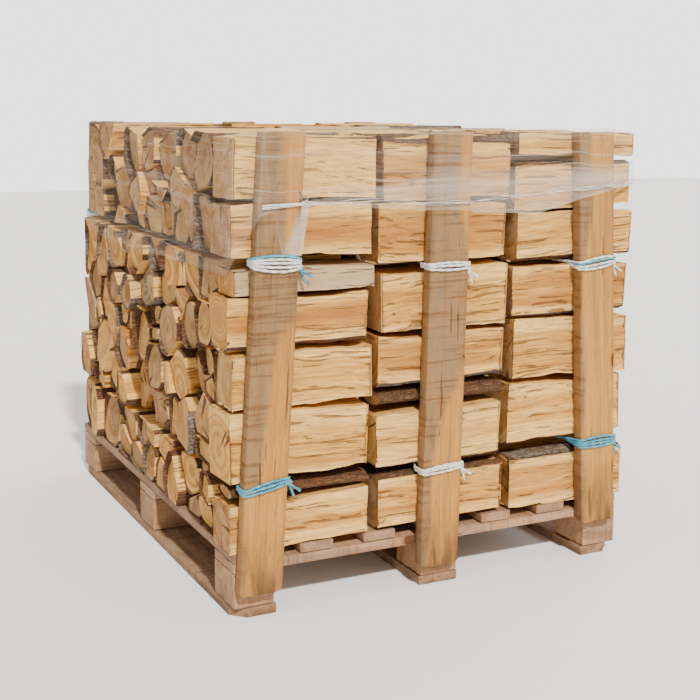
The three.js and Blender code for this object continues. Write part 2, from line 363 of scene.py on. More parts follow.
# %% Sawn ends
def make_sawn_end():
    material, tree, shader = new_material("sawn_end", 0.85, 0.2)
    where = add(tree, "TexCoord", output="Object")
    rings = place_group(tree, growth_rings, [("Spacing", 0.052)])
    around = rings["Around"]
    angle = math_node(tree, "ARCTAN2", *parts(tree, "XYZ", around)[:2])
    radius = add(tree, "VectorMath", [(0, around)], output="Value", operation="LENGTH")
    polar = add(tree, "CombineXYZ", [(0, angle), (1, radius), (2, rings["Shift"])])
    rays = fuzz(tree, stretched(tree, polar, (2.6, 0.5, 9.0)), 1.0, 2.0, 0.5)
    checks = ramp(tree, rays, 0.30, 0.35, 1.0, 0.0)
    flecks = fuzz(tree, stretched(tree, polar, (40.0, 2.0, 9.0)), 1.0, 3.0)
    saw = fuzz(tree, stretched(tree, where, (40.0, 60.0, 480.0)), 1.0, 2.0)
    blotch = fuzz(tree, where, 24.0, 4.0, 0.62)
    own = add(tree, "TexWhiteNoise", [("W", rings["Shift"])], noise_dimensions="1D")
    edge = add(tree, "Attribute", attribute_name="edge", output="Fac")
    belts = add(tree, "CombineXYZ", [(0, times(tree, radius, 7.5)), (1, rings["Shift"])])
    belts = fuzz(tree, belts, 1.0, 2.0, 0.6)
    heart = mix(tree, ramp(tree, rings["Tone"], 0.0, 0.8), STRAW, TAN)
    grey = mix(tree, ramp(tree, blotch, 0.35, 0.65), (0.12, 0.055, 0.025, 1), (0.40, 0.245, 0.125, 1))
    aged = times(
        tree, ramp(tree, own, 0.15, 0.85, 0.1, 0.95), ramp(tree, blotch, 0.3, 0.7, 0.55, 1.0)
    )
    # logs high in the stack are greyer
    upper = times(
        tree, ramp(tree, parts(tree, "XYZ", where)[2], 0.66, 0.84, 0.0, 0.8),
        ramp(tree, blotch, 0.3, 0.6, 0.5, 1.0),
    )
    bark = mix(tree, blotch, (0.05, 0.022, 0.01, 1), (0.15, 0.075, 0.035, 1))
    # edge is 1 on the outer rim of each end; below, that rim is darkened as painted shade of the gap
    # beside it, partly a bark-like rim
    ragged = math_node(tree, "MULTIPLY_ADD", blotch, 0.5, edge)
    wood = coats(
        tree, heart,
        (times(tree, rings["Sapwood"], 0.8), CREAM),
        (times(tree, rings["Rings"], 0.5), RUST),
        (ramp(tree, belts, 0.46, 0.64, 0.0, 0.55), RUST),
        (ramp(tree, belts, 0.5, 0.36, 0.0, 0.5), CREAM),
        (ramp(tree, flecks, 0.45, 0.7, 0.0, 0.45), TAN),
        (math_node(tree, "MAXIMUM", aged, upper), grey),
        (ramp(tree, saw, 0.5, 0.7, 0.0, 0.3), RUST),
        (times(tree, checks, 0.85), DARK),
        (ramp(tree, rings["Rim"], 0.91, 0.94), bark),
        # painted shade: a dark rim round each end where the gap beside it lies, partly bark-like
        (ramp(tree, ragged, 0.55, 1.15, 0.0, 0.85), (0.10, 0.035, 0.012, 1)),
    )
    tree.links.new(wood, shader.inputs["Base Color"])
    height = math_node(tree, "MULTIPLY_ADD", rings["Rings"], -0.3, saw)
    height = math_node(tree, "MULTIPLY_ADD", checks, -1.6, height)
    tree.links.new(bump(tree, height, 0.7, 0.002), shader.inputs["Normal"])
    return material


sawn_end = make_sawn_end()
print("sawn end:", len(sawn_end.node_tree.nodes), "nodes")

# %% [markdown]
# ## Bark
# The bark is a few millimetres thick, ridged along the log and cracked across it. Most of
# it is dark brown, rust-red where the outer flakes have come off, and grey where lichen and
# weather have had it. The log's own tone decides how much of each there is.

# %% Bark
def make_bark():
    material, tree, shader = new_material("bark", 0.92, 0.15)
    where = add(tree, "TexCoord", output="Object")
    rings = place_group(tree, growth_rings, [("Spacing", 0.03)])
    ridges = fuzz(tree, stretched(tree, where, (14.0, 120.0, 120.0)), 1.0, 5.0, 0.7, 0.8)
    bend = add(tree, "TexNoise", [("Vector", where), ("Scale", 60.0)], output="Color")
    bend = add(tree, "VectorMath", [(0, bend), (1, (0.02, 0.02, 0.02))], operation="MULTIPLY")
    bent = add(tree, "VectorMath", [(0, where), (1, bend)], operation="ADD")
    flakes = add(
        tree, "TexVoronoi", [("Vector", stretched(tree, bent, (26.0, 130.0, 130.0))), ("Scale", 1.0)],
        feature="DISTANCE_TO_EDGE",
    )
    cracks = ramp(tree, flakes, 0.0, 0.16, 1.0, 0.0)
    blotch = fuzz(tree, where, 9.0, 4.0)
    brown = mix(tree, ridges, (0.055, 0.025, 0.012, 1), (0.24, 0.125, 0.062, 1))
    rusty = mix(tree, ridges, (0.11, 0.045, 0.02, 1), (0.25, 0.115, 0.058, 1))
    grey = mix(tree, ridges, (0.10, 0.075, 0.055, 1), (0.36, 0.28, 0.21, 1))
    old = times(tree, ramp(tree, rings["Tone"], 0.35, 0.7), ramp(tree, blotch, 0.6, 0.4))
    color = coats(
        tree, brown,
        (ramp(tree, blotch, 0.48, 0.6), rusty),
        (old, grey),
        (times(tree, cracks, 0.55), (0.03, 0.013, 0.006, 1)),
    )
    tree.links.new(color, shader.inputs["Base Color"])
    height = math_node(tree, "MULTIPLY_ADD", cracks, -0.5, ridges)
    tree.links.new(bump(tree, height, 0.9, 0.005), shader.inputs["Normal"])
    return material


bark = make_bark()
print("bark:", len(bark.node_tree.nodes), "nodes")

# %% [markdown]
# ## One log
# A log starts as a round stem lying along X. Each split is one flat cut along its length:
# the part outside goes, the cut is closed, and the new face is split wood. What is left of
# the round surface is bark, and the two caps are the sawn ends. This is how a real log
# comes about, so the grain on its faces agrees by itself.

# %% Stem and splits
END, SPLIT, BARK = 0, 1, 2
LOG_MATERIALS = (sawn_end, split_wood, bark)
NO_DRIFT = 1e-6


def all_of(bm):
    return bm.verts[:] + bm.edges[:] + bm.faces[:]


def round_stem(pith, radii, turn, x0, x1, sides):
    """A stem of oval section along X: radii are its two half-widths, turned by an angle."""
    bm = bmesh.new()
    bmesh.ops.create_cone(
        bm, cap_ends=True, segments=sides, radius1=1.0, radius2=0.985, depth=x1 - x0
    )
    for face in bm.faces:
        face.material_index = END if len(face.verts) > 4 else BARK
    across = Matrix.Diagonal((radii[0], radii[1], 1.0, 1.0))
    lay_down = Matrix(((0, 0, 1, 0), (1, 0, 0, 0), (0, 1, 0, 0), (0, 0, 0, 1)))
    place = Matrix.Translation(((x0 + x1) / 2, pith[0], pith[1]))
    bmesh.ops.transform(
        bm, matrix=place @ lay_down @ Matrix.Rotation(turn, 4, "Z") @ across, verts=bm.verts
    )
    return bm


def split_off(bm, at, out):
    """Takes away what lies beyond a plane and closes the cut with split wood."""
    cut = bmesh.ops.bisect_plane(
        bm, geom=all_of(bm), dist=NO_DRIFT, plane_co=at, plane_no=out, clear_outer=True
    )
    rim = [e for e in cut["geom_cut"] if isinstance(e, bmesh.types.BMEdge)]
    rim = [e for e in rim if e.is_valid and len(e.link_faces) == 1]
    if len(rim) > 2:
        bmesh.ops.edgeloop_fill(bm, edges=rim, mat_nr=SPLIT)


def slice_at(bm, axis, places, faces=None):
    """Adds cross lines at each place along an axis, so that the surface can be shaped."""
    normal = Vector((axis == 0, axis == 1, axis == 2))
    for place in places:
        if faces is None:
            geom = all_of(bm)
        else:
            chosen = [f for f in bm.faces if faces(f)]
            edges = dict.fromkeys(e for f in chosen for e in f.edges)  # each once, in order
            geom = [*edges, *dict.fromkeys(v for f in chosen for v in f.verts), *chosen]
        bmesh.ops.bisect_plane(
            bm, geom=geom, dist=NO_DRIFT, plane_co=normal * place, plane_no=normal
        )


print("a log is a stem cut by planes")

# %% [markdown]
# ## Marking a log
# Before its surface is shaped, the log takes its UV map and its four numbers, which the
# ring group reads.

# %% Marks on a log
PER_METRE = 10  # lengths in the marks are in decimetres


def mark_log(bm, stem, tone, shift):
    """stem is (pith, half-widths, turn, mean radius, radius of the heartwood)."""
    pith, radii, turn, radius, heart = stem
    c, s = math.cos(turn), math.sin(turn)
    uv = bm.loops.layers.uv.new("pith")
    numbers = bm.verts.layers.float_color.new("log")
    for face in bm.faces:
        for loop in face.loops:
            y, z = loop.vert.co.y - pith[0], loop.vert.co.z - pith[1]
            along = (c * y + s * z) / radii[0]
            across = (c * z - s * y) / radii[1]
            loop[uv].uv = (along * radius * PER_METRE, across * radius * PER_METRE)
    for vert in bm.verts:
        vert[numbers] = (tone, heart * PER_METRE, shift, radius * PER_METRE)


print("a log remembers its pith, tone and bark")

# %% [markdown]
# ## Wear
# Every point moves a little: the whole log wanders along its length, bark swells and dips
# round the stem, split faces tear inwards along the fibres, and the ends are sawn slightly
# out of square. Everything but the wander moves inwards, so that a log never grows into
# its neighbour.

# %% Wear
BARK_RIDGE = 0.0016
SAW_CHIP = 0.0006
LONGEST_LEVER = 0.06  # from the middle of a log's end to its furthest corner, about


def noise_at(x, y, z):
    """Smooth noise round 0, the same at the same place in every run."""
    return noise.noise(Vector((x, y, z)))


def torn_depth(at, shift):
    """How deep a split face is torn at a point, from 0 to about 1: ledges, then fibres."""
    slow = noise_at(at.x * 4, at.y * 18, at.z * 18 + shift)
    level = at.z * 34 + at.y * 34 + 2.2 * noise_at(at.x * 5, shift, at.z * 12)
    ledge = level - math.floor(level)
    step = noise_at(at.x * 7, at.y * 110, at.z * 110 + shift)
    hair = noise_at(at.x * 18, at.y * 330, at.z * 330 + shift)
    patchy = 0.5 + 0.5 * noise_at(at.x * 6, at.y * 9, at.z * 9 - shift)
    return max(0.0, 0.36 + 0.42 * slow + 0.30 * ledge * patchy + 0.34 * step + 0.14 * hair)


def wear_log(bm, shift, torn, wander, lobes, off_square):
    """torn, wander and lobes are the depths of the three kinds of wear, in metres, and
    off_square is how far each saw cut leans, as slopes over Y and Z."""
    bmesh.ops.recalc_face_normals(bm, faces=bm.faces)
    bm.normal_update()
    moves = []
    middle = sum((v.co for v in bm.verts), Vector()) / len(bm.verts)
    for vert in bm.verts:
        at = vert.co
        kinds = {f.material_index for f in vert.link_faces}
        move = Vector()
        if BARK in kinds:
            lobe = noise_at(at.x * 3, at.y * 22, at.z * 22 + shift)
            ridge = noise_at(at.x * 22, at.y * 120, at.z * 120 + shift)
            move -= vert.normal * (lobes * (0.5 + 0.5 * lobe) + BARK_RIDGE * (0.5 + 0.5 * ridge))
        elif SPLIT in kinds:
            move -= vert.normal * (torn * torn_depth(at, shift))
        sway = noise.noise_vector(Vector((at.x * 5.0, shift, 0.0))) * wander
        move.y += sway.y
        move.z += sway.z
        if END in kinds:
            inwards = 1 if at.x < middle.x else -1
            lean = off_square[0] * (at.y - middle.y) + off_square[1] * (at.z - middle.z)
            chip = noise_at(at.y * 90, at.z * 90, shift) * SAW_CHIP
            most = LONGEST_LEVER * (abs(off_square[0]) + abs(off_square[1]))
            move.x += inwards * (lean + most + chip)
        moves.append(move)
    for vert, move in zip(bm.verts, moves):
        vert.co += move


print("wear ready")

# %% [markdown]
# ## Worn rims, and handing a piece over
# Handling knocks the rim off a sawn end. After that, a log keeps sharp lines only between
# its kinds of surface and where they fold. Every piece rides on the one body of the frame.

# %% Rims and pieces
def chip_ends(bm, width, depth, chosen=lambda face: True):
    """A narrow worn rim round the sawn ends: bark where the stem was round. The points of
    the outer edge carry 1 in the attribute edge, which the sawn end uses for a rim of
    painted shade of the gap beside it, partly a bark-like rim."""
    shaded_rim = bm.verts.layers.float.new("edge")
    caps = [f for f in bm.faces if f.material_index == END and chosen(f)]
    for cap in caps:
        rim = list(cap.verts)
        into = -cap.normal * depth
        made = bmesh.ops.inset_individual(bm, faces=[cap], thickness=width, use_even_offset=True)
        for vert in rim:
            vert.co += into
            vert[shaded_rim] = 1.0
        for face in made["faces"]:
            beside = {f.material_index for e in face.edges for f in e.link_faces}
            if BARK in beside:
                face.material_index = BARK


def shade(bm, sharp_angle=0.7):
    for face in bm.faces:
        face.smooth = face.material_index != END or len(face.verts) < 5
    for edge in bm.edges:
        kinds = {f.material_index for f in edge.link_faces}
        edge.smooth = len(kinds) == 1 and edge.calc_face_angle(0.0) < sharp_angle


def to_mesh(bm, name):
    mesh = bpy.data.meshes.new(name)
    bm.to_mesh(mesh)
    bm.free()
    return mesh


def finish_piece(bm, name, nodes, materials):
    """Makes the object, hangs it on the frame and hides the solids it stands for."""
    mesh = to_mesh(bm, name)
    for material in materials:
        mesh.materials.append(material)
    piece = bpy.data.objects.new(name, mesh)
    bpy.context.scene.collection.objects.link(piece)
    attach(piece, "root")
    if nodes:
        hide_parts(*nodes)
    return piece


def triangles(piece):
    return sum(len(p.vertices) - 2 for p in piece.data.polygons)


print("rims and pieces ready")

# %% [markdown]
# ## The front logs
# The logs of the front face were split large and laid with a split face outwards. Each
# takes its size from its own solid. The pith lies some way behind the face, so the corners
# of the face come close to the bark and are pale, and its middle is heartwood. Two thin
# ones are whole stems with their bark on. The faces are sliced finely in both directions,
# because torn fibres are real relief that catches the light.

# %% Front logs
FRONT_ROWS = {"left": 8, "middle": 7, "right": 7}
FACE_STEP_X = 0.0075
FACE_STEP_Z = 0.0036
SPARE = 0.0035  # how far a log may swell into the gap over and under it
# name: (pith depth, stem reach, heart share, tone); what isn't named takes its own chance
FRONT_STYLE = {
    "left_3": (0.055, 1.32, 0.60, 0.15),
    "left_4": (0.030, 1.40, 0.55, 0.02),
    "left_6": (0.050, 1.05, 0.90, 1.15),
    "left_8": (0.085, 1.08, 0.60, 0.10),
    "middle_1": (0.030, 0.93, 0.72, 0.40),
    "middle_4": (0.070, 1.04, 0.84, 0.75),
    "middle_5": (0.060, 1.28, 0.64, 0.30),
    "middle_6": (0.050, 1.04, 0.84, 0.80),
    "right_1": (0.040, 0.92, 0.76, 0.65),
    "right_2": (0.060, 1.03, 0.70, 0.25),
    "right_3": (0.035, 1.30, 0.60, 0.50),
    "right_4": (0.045, 1.03, 0.82, 0.85),
}
WHOLE_STEMS = ("left_2", "middle_3")
luck = np.random.default_rng(33)


def steps_between(low, high, step):
    count = max(1, round((high - low) / step))
    return [low + (high - low) * i / count for i in range(1, count)]


def bow_edges(bm, middle, size, shift):
    """The upper and lower edges of a front log follow its grain in long waves."""
    for vert in bm.verts:
        up = (vert.co.z - middle.z) / (size.z / 2)
        wave = noise_at(vert.co.x * 6.5, shift, 2.0 if up > 0 else 7.0)
        wave += 0.4 * noise_at(vert.co.x * 21, shift, 4.0 if up > 0 else 9.0)
        vert.co.z -= math.copysign(up * up, up) * max(0.0, wave + 0.08) * min(0.010, 0.10 * size.z)


def front_log(name):
    low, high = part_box(f"log_{name}")
    middle = (low + high) / 2
    size = high - low
    chance = (luck.uniform(0.03, 0.08), 1.04, luck.uniform(0.62, 0.86), luck.uniform(0.1, 0.9))
    depth, reach, share, tone = FRONT_STYLE.get(name, chance)
    shift = luck.uniform(0, 50)
    if name in WHOLE_STEMS:
        pith = (middle.y, middle.z)
        radii = (size.y / 2, size.z / 2)
        bm = round_stem(pith, radii, 0.0, low.x, high.x, 40)
        radius = (radii[0] + radii[1]) / 2
        slice_at(bm, 0, steps_between(low.x, high.x, FACE_STEP_X))
        stem = (pith, radii, 0.0, radius, radius * 0.6)
    else:
        pith = (low.y + depth, middle.z + luck.uniform(-0.12, 0.12) * size.z)
        radius = reach * math.hypot(depth, size.z / 2)
        bm = round_stem(pith, (radius, radius), 0.0, low.x, high.x, 44)
        slant = luck.uniform(-0.03, 0.03, 4)
        for at, out in (
            (Vector((middle.x, low.y, middle.z)), Vector((0, -1, 0))),
            (Vector((middle.x, middle.y, high.z + SPARE)), Vector((slant[0], slant[1], 1))),
            (Vector((middle.x, middle.y, low.z - SPARE)), Vector((slant[2], slant[3], -1))),
            (Vector((middle.x, high.y, middle.z)), Vector((0, 1, 0))),
        ):
            split_off(bm, at, out.normalized())
        slice_at(bm, 0, steps_between(low.x, high.x, FACE_STEP_X))
        slice_at(bm, 2, steps_between(low.z, high.z, FACE_STEP_Z), lambda f: f.normal.y < -0.9)
        slice_at(bm, 1, steps_between(low.y, high.y, 0.022), lambda f: abs(f.normal.z) > 0.8)
        stem = (pith, (radius, radius), 0.0, radius, radius * share)
    chip_ends(bm, 0.004, 0.0018)
    mark_log(bm, stem, tone, shift)
    square = luck.uniform(-0.05, 0.05, 2)
    wear_log(bm, shift, torn=0.010, wander=0.0035, lobes=0.004, off_square=square)
    bow_edges(bm, middle, size, shift)
    shade(bm)
    return finish_piece(bm, f"front_{name}", [f"log_{name}"], LOG_MATERIALS)


front_logs = [front_log(f"{row}_{i + 1}") for row, n in FRONT_ROWS.items() for i in range(n)]
print("front logs:", len(front_logs), "with", sum(map(triangles, front_logs)), "triangles")

# %% [markdown]
# ## Laying out a row
# Behind the front logs, about a hundred more fill each row. Stackers fit logs where there
# is room, which makes an even but irregular pattern. The same pattern comes from scattering
# places over the row's section, giving each point of the section to its nearest place, and
# moving every place to the middle of what it owns, a few times over. Twine runs between
# courses, so the section is filled in three bands with a thin gap at the height of each tie.

# %% Layout
LOG_WIDTH = 0.092
SAMPLE = 0.006
ROUNDS = 6
SMALLEST = 40  # a place that owns fewer sample points than this is given up


def lay_out(low, high):
    """Places, weights and owned sample points of the logs in one band, as (y, z)."""
    count = round((high[0] - low[0]) * (high[1] - low[1]) / LOG_WIDTH**2)
    lines = [np.arange(low[k] + SAMPLE / 2, high[k], SAMPLE) for k in (0, 1)]
    section = np.stack(np.meshgrid(*lines), -1).reshape(-1, 2)
    places = luck.uniform(low, high, (count, 2))
    weights = luck.uniform(-0.28, 0.28, count) * LOG_WIDTH**2
    for _ in range(ROUNDS):
        distance = ((section[:, None] - places) ** 2).sum(2) - weights
        owner = distance.argmin(1)
        kept = [i for i in range(len(places)) if (owner == i).sum() > SMALLEST]
        places = np.array([section[owner == i].mean(0) for i in kept])
        weights = weights[kept]
    distance = ((section[:, None] - places) ** 2).sum(2) - weights
    owner = distance.argmin(1)
    return places, weights, [section[owner == i] for i in range(len(places))]


def split_planes(i, places, weights):
    """Where log i meets its neighbours: a point and an outward direction for each."""
    planes = []
    for j, other in enumerate(places):
        apart = other - places[i]
        gap = float(np.hypot(*apart))
        if j == i or gap > 2.8 * LOG_WIDTH:
            continue
        out = apart / gap
        meet = (gap**2 + weights[i] - weights[j]) / (2 * gap)
        planes.append((places[i] + out * (meet - luck.uniform(0.0008, 0.003)), out))
    return planes


print("layout ready")

# %% [markdown]
# ## Logs of the bulk
# A small stem stays whole: an oval that fills its place. A larger one was split, so its
# pith lies off to one side, its bark is on the far side, and its neighbours' planes cut the
# rest. Logs that show only an end get a fine end and a coarse body. Those on the top, the
# back and the bottom show their sides too, and are sliced as well, less finely than the
# front ones.

# %% One bulk log
BULK_STEP_X = 0.016
BULK_STEP = 0.011


def bulk_log(x0, x1, planes, owned, walls, round_share, shown, sides):
    """One log. walls are the band's own planes, and shown the directions that are seen."""
    middle = owned.mean(0)
    spread, axes = np.linalg.eigh(np.cov(owned.T))
    width = math.sqrt(len(owned) * SAMPLE**2 / math.pi)
    shift = luck.uniform(0, 50)
    tone = luck.uniform(0, 1.15)
    if luck.uniform() < round_share:
        radii = tuple(1.96 * np.sqrt(spread))
        pith, turn = middle, math.atan2(axes[1, 0], axes[0, 0])
    else:
        angle = luck.uniform(0, 2 * math.pi)
        away = width * luck.uniform(0.35, 1.3)
        pith = middle + away * np.array((math.cos(angle), math.sin(angle)))
        radii, turn = (away + width * luck.uniform(0.86, 1.0),) * 2, 0.0
    radius = (radii[0] + radii[1]) / 2
    bm = round_stem(pith, radii, turn, x0, x1, sides)
    for at, out in planes + walls:
        split_off(bm, Vector((0, *at)), Vector((0, *out)))
    if shown & {"top", "back", "bottom"}:
        slice_at(bm, 0, steps_between(x0, x1, BULK_STEP_X))
        for side, across, out in (("back", 2, 1), ("top", 1, 2)):
            if side in shown:
                at = middle[across - 1]
                slice_at(
                    bm, across, steps_between(at - width, at + width, BULK_STEP),
                    lambda f: f.material_index == SPLIT and f.normal[out] > 0.6,
                )
    elif "left" in shown:
        slice_at(bm, 0, (x0 + 0.02, x0 + 0.07))
    elif "right" in shown:
        slice_at(bm, 0, (x1 - 0.07, x1 - 0.02))
    chip_ends(bm, 0.003, 0.0016, lambda f: f.normal.x < -0.5 if "left" in shown else f.normal.x > 0.5)
    stem = (pith, radii, turn, radius, radius * luck.uniform(0.5, 0.8))
    mark_log(bm, stem, tone, shift)
    square = luck.uniform(-0.16, 0.16, 2)
    wear_log(bm, shift, torn=0.0045, wander=0.0012, lobes=0.003, off_square=square)
    shade(bm)
    return bm


print("one bulk log ready")

# %% [markdown]
# ## Stacking the rows
# Each row is filled band by band. The bottom band has more whole stems. Ends stand out or
# back by a centimetre or so, a few of them by more. Under the film they stand out less, and
# in the left row they step in towards the back, where the film pulls them. The top is
# uneven. Faces along a seam tilt a little, each on its own side of the twine.

# %% Rows behind the front logs
ROUND_SHARE = 0.42
LOW_ROUND_SHARE = 0.7
HALF_SEAM = 0.0035  # half the gap that the twine runs in
WRAPPED_FROM = 0.66  # logs wholly over this height lie under the film
PULLED_IN = 0.016  # how much further in the film holds the far left corner


def add_to(row, bm):
    """Moves a log into its row's mesh."""
    mesh = to_mesh(bm, "log")
    row.from_mesh(mesh)
    bpy.data.meshes.remove(mesh)


def tie_height(row, level):
    low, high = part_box(f"twine_{row}_{level}")
    return (low.z + high.z) / 2


def stack_row(row):
    low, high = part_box(f"logs_behind_{row}")
    ties = [tie_height(row, "lower"), tie_height(row, "upper")]
    floors = [low.z, ties[0] + HALF_SEAM, ties[1] + HALF_SEAM]
    ceilings = [ties[0] - HALF_SEAM, ties[1] - HALF_SEAM, high.z]
    merged = bmesh.new()
    count = 0
    for band, (z0, z1) in enumerate(zip(floors, ceilings)):
        places, weights, owned = lay_out((low.y, z0), (high.y, z1))
        for i, own in enumerate(owned):
            top = band == 2 and own[:, 1].max() > z1 - 2 * SAMPLE
            back = own[:, 0].max() > high.y - 2 * SAMPLE
            bottom = band == 0 and own[:, 1].min() < z0 + 2 * SAMPLE
            sides_seen = (("top", top), ("back", back), ("bottom", bottom))
            shown = {side for side, seen in sides_seen if seen} | {row} & {"left", "right"}
            proud = luck.uniform(-0.010, 0.015) + (luck.uniform() < 0.08) * 0.025
            if own[:, 1].min() > WRAPPED_FROM:
                proud = max(proud, -0.005)
                if row == "left":
                    proud += PULLED_IN * (own[:, 0].mean() + 0.6) / 1.2
            x0 = low.x + (proud if row == "left" else 0.002)
            x1 = high.x - (proud if row == "right" else 0.002)
            crest = z1 + (luck.uniform(-0.010, 0.005) if top else 0.0)
            lean = 0.03 * max(0.0, (own[:, 1].mean() - 0.4) / 0.6) if back else 0.0
            walls = [((0, crest), (0, 1)), ((0, z0), (0, -1))]
            reach = float(np.ptp(own[:, 0])) / 2
            for edge, out in ((z1, 1), (z0, -1)):
                lean_off = luck.uniform(-0.09, 0.09)
                if top and out > 0:
                    tip = luck.uniform(-0.4, 0.4)
                    walls.append(((own[:, 0].mean(), crest - 0.3 * abs(tip) * reach), (tip, 1)))
                if (out > 0 and band < 2) or (out < 0 and band > 0):
                    pull = abs(lean_off) * reach
                    walls.append(((own[:, 0].mean(), edge - out * pull), (lean_off, out)))
            walls += [((high.y - lean, 0), (1, 0)), ((low.y - 0.006, 0), (-1, 0))]
            rounds = LOW_ROUND_SHARE if band == 0 else ROUND_SHARE
            sides = 30 if shown else 12
            planes = split_planes(i, places, weights)
            add_to(merged, bulk_log(x0, x1, planes, own, walls, rounds, shown, sides))
            count += 1
    piece = finish_piece(
        merged, f"stacked_{row}", [f"logs_behind_{row}"], LOG_MATERIALS
    )
    print(f"{row} row: {count} logs behind the front ones, {triangles(piece)} triangles")
    return piece


stacks = [stack_row(row) for row in FRONT_ROWS]
print("rows behind the front logs:", [piece.name for piece in stacks])

# %% [markdown]
# ## Old boards
# The pallet and the uprights are sawn boards that have been out in the weather. The solid
# model gives each its size, so a board starts as a copy of its solid: its edges are rounded,
# it is sliced along and across, and a little noise dents it and chips its ends.
# Each point also remembers where it lies in the board, along the grain first, in an
# attribute called grain, and how golden, weathered and darkened it is, in one called board;
# the darkening is dirt, with painted shade on the pallet's deck boards.

# %% Board wood
GOLD = (0.49, 0.235, 0.046, 1)
HONEY = (0.58, 0.31, 0.076, 1)
AMBER = (0.38, 0.13, 0.018, 1)
GREYED = (0.30, 0.215, 0.115, 1)
PINK = (0.66, 0.43, 0.27, 1)
BOARD_RING = 0.0062  # from one growth ring to the next


def darker(color, share):
    return tuple(share * c for c in color[:3]) + (1,)


def make_board(name, plain, warm, old):
    """Sawn board wood in three colours: its own, its warmer streaks and its weathering."""
    material, tree, shader = new_material(name, 0.8, 0.2)
    grain = add(tree, "Attribute", attribute_name="grain", output="Vector")
    look = add(tree, "Attribute", attribute_name="board")
    tone, weathered, dirt_and_shade = parts(tree, "Color", look)
    fibres = place_group(tree, wood_fibres, [("Vector", grain), ("Shift", 3.0), ("Checks", 0.42)])
    # rings round a pith outside the board, with knots that push them aside
    knots = add(
        tree, "TexVoronoi",
        [("Vector", stretched(tree, grain, (2.6, 9.0, 3.0))), ("Scale", 1.0)],
    )
    knot = ramp(tree, knots, 0.02, 0.17, 1.0, 0.0)
    core = ramp(tree, knots, 0.035, 0.06, 1.0, 0.0)
    sway = fuzz(tree, stretched(tree, grain, (1.6, 8.0, 8.0)), 1.0, 2.0)
    axes = parts(tree, "XYZ", grain)
    across = math_node(tree, "MULTIPLY_ADD", sway, 0.05, axes[1])
    across = math_node(tree, "MULTIPLY_ADD", knot, 0.016, across)
    through = math_node(tree, "ADD", axes[2], 0.05)
    squares = [math_node(tree, "POWER", side, 2.0) for side in (across, through)]
    ring = math_node(tree, "SQRT", math_node(tree, "ADD", *squares))
    turns = math_node(tree, "FRACT", math_node(tree, "DIVIDE", ring, BOARD_RING))
    late = math_node(tree, "POWER", turns, 2.0)
    streak = fuzz(tree, stretched(tree, grain, (2.2, 60.0, 25.0)), 1.0, 4.0, 0.6)
    grey = mix(tree, fibres["Fibres"], old, darker(old, 0.42))
    patch = fuzz(tree, stretched(tree, grain, (6.0, 30.0, 30.0)), 1.0, 4.0, 0.65)
    saw = fuzz(tree, stretched(tree, grain, (130.0, 6.0, 6.0)), 1.0, 3.0)
    wood = coats(
        tree, plain,
        (tone, warm),
        (ramp(tree, fibres["Bands"], 0.4, 0.68, 0.0, 0.55), warm),
        (times(tree, late, 0.5), AMBER),
        (times(tree, weathered, ramp(tree, patch, 0.3, 0.62, 1.0, 0.7)), grey),
        (ramp(tree, streak, 0.5, 0.68, 0.0, 0.55), darker(old, 0.5)),
        (times(tree, weathered, ramp(tree, patch, 0.48, 0.66, 0.0, 0.65)), darker(old, 0.38)),
        (times(tree, weathered, ramp(tree, saw, 0.5, 0.64, 0.0, 0.5)), DARK),
        (ramp(tree, fibres["Fibres"], 0.36, 0.6, 0.42, 0.0), RUST),
        (times(tree, knot, 0.35), AMBER),
        (times(tree, core, 0.85), DARK),
        (times(tree, fibres["Checks"], 0.7), DARK),
        # dirt, a darker foot on the uprights, and painted shade on the deck boards
        (times(tree, dirt_and_shade, ramp(tree, patch, 0.4, 0.6, 0.35, 0.95)), (0.11, 0.052, 0.02, 1)),
    )
    tree.links.new(wood, shader.inputs["Base Color"])
    height = math_node(tree, "MULTIPLY_ADD", saw, 0.35, fibres["Height"])
    tree.links.new(bump(tree, height, 0.7, 0.0025), shader.inputs["Normal"])
    return material


upright_wood = make_board("upright_wood", HONEY, GOLD, GREYED)
pallet_wood = make_board("pallet_wood", PINK, (0.54, 0.30, 0.14, 1), (0.42, 0.29, 0.20, 1))
print("board wood:", len(upright_wood.node_tree.nodes), "nodes")

# %% [markdown]
# ## Shaping a board
# A real board shows its life at its edges first, so each one gets soft edges, a slight hollow
# and broken ends. The slices are close enough together for weathering to have a ragged limit.

# %% Shaping a board
EDGE_ROUND = 0.0022


def board_axes(low, high, along):
    """The grain's axis, then the wider and the thinner of the other two."""
    others = sorted((k for k in range(3) if k != along), key=lambda k: low[k] - high[k])
    return along, others[0], others[1]


